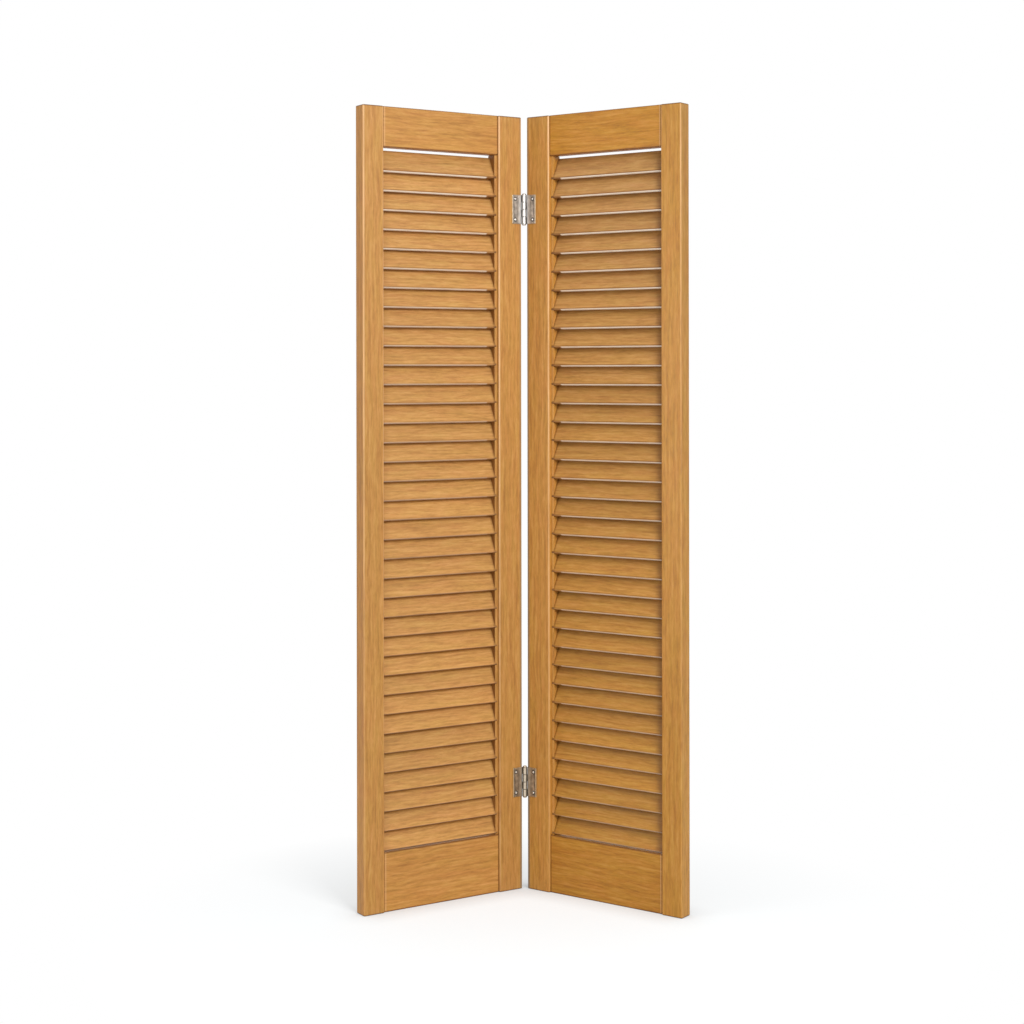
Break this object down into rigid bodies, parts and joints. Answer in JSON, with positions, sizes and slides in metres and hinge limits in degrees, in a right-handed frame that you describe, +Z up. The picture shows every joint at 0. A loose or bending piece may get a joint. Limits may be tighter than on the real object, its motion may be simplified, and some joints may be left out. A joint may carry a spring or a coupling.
{
  "type": "bifold louvered door",
  "caption": "Folding wooden louvre door: framed leaves with fixed sloping slats, joined by face-mounted steel butt hinges and standing half open.",
  "frame": {"origin": "on the floor, at the middle of the standing door's bounding box", "axes": "+Z up along the stiles, +X across the door from the left leaf to the right leaf, +Y from the open side of the fold to the hinge line behind it"},
  "size_m": [0.8146, 0.2892, 1.981],
  "materials": {
    "stile_wood": "satin varnish",
    "rail_wood": "satin varnish",
    "louvre_wood": "satin varnish",
    "hinge_steel": "satin",
    "pin_steel": "satin",
    "screw_steel": "satin"
  },
  "bodies": {
    "left_leaf": {"left_outer_stile": "stile_wood", "left_hinge_stile": "stile_wood", "left_top_rail": "rail_wood", "left_bottom_rail": "rail_wood", "left_louvre_pair_01": "louvre_wood", "left_louvre_pair_02": "louvre_wood", "left_louvre_pair_03": "louvre_wood", "left_louvre_pair_04": "louvre_wood", "left_louvre_pair_05": "louvre_wood", "left_louvre_pair_06": "louvre_wood", "left_louvre_pair_07": "louvre_wood", "left_louvre_pair_08": "louvre_wood", "left_louvre_pair_09": "louvre_wood", "left_louvre_pair_10": "louvre_wood", "left_louvre_pair_11": "louvre_wood", "left_louvre_pair_12": "louvre_wood", "left_louvre_pair_13": "louvre_wood", "left_louvre_pair_14": "louvre_wood", "left_louvre_pair_15": "louvre_wood", "left_louvre_pair_16": "louvre_wood", "left_louvre_pair_17": "louvre_wood", "left_louvre_pair_18": "louvre_wood", "upper_hinge_left_plate": "hinge_steel", "upper_hinge_left_screw_high": "screw_steel", "upper_hinge_left_screw_low": "screw_steel", "lower_hinge_left_plate": "hinge_steel", "lower_hinge_left_screw_high": "screw_steel", "lower_hinge_left_screw_low": "screw_steel", "upper_hinge_pin": "pin_steel", "lower_hinge_pin": "pin_steel"},
    "right_leaf": {"right_outer_stile": "stile_wood", "right_hinge_stile": "stile_wood", "right_top_rail": "rail_wood", "right_bottom_rail": "rail_wood", "right_louvre_pair_01": "louvre_wood", "right_louvre_pair_02": "louvre_wood", "right_louvre_pair_03": "louvre_wood", "right_louvre_pair_04": "louvre_wood", "right_louvre_pair_05": "louvre_wood", "right_louvre_pair_06": "louvre_wood", "right_louvre_pair_07": "louvre_wood", "right_louvre_pair_08": "louvre_wood", "right_louvre_pair_09": "louvre_wood", "right_louvre_pair_10": "louvre_wood", "right_louvre_pair_11": "louvre_wood", "right_louvre_pair_12": "louvre_wood", "right_louvre_pair_13": "louvre_wood", "right_louvre_pair_14": "louvre_wood", "right_louvre_pair_15": "louvre_wood", "right_louvre_pair_16": "louvre_wood", "right_louvre_pair_17": "louvre_wood", "right_louvre_pair_18": "louvre_wood", "upper_hinge_right_plate": "hinge_steel", "upper_hinge_right_screw_high": "screw_steel", "upper_hinge_right_screw_low": "screw_steel", "lower_hinge_right_plate": "hinge_steel", "lower_hinge_right_screw_high": "screw_steel", "lower_hinge_right_screw_low": "screw_steel"}
  },
  "joints": [
    {"name": "fold", "type": "hinge", "parent": "left_leaf", "child": "right_leaf", "pos_m": [0, 0.1106, 0.99], "axis": [0, 0, 1], "range_deg": [-111, 68.5]}
  ]
}
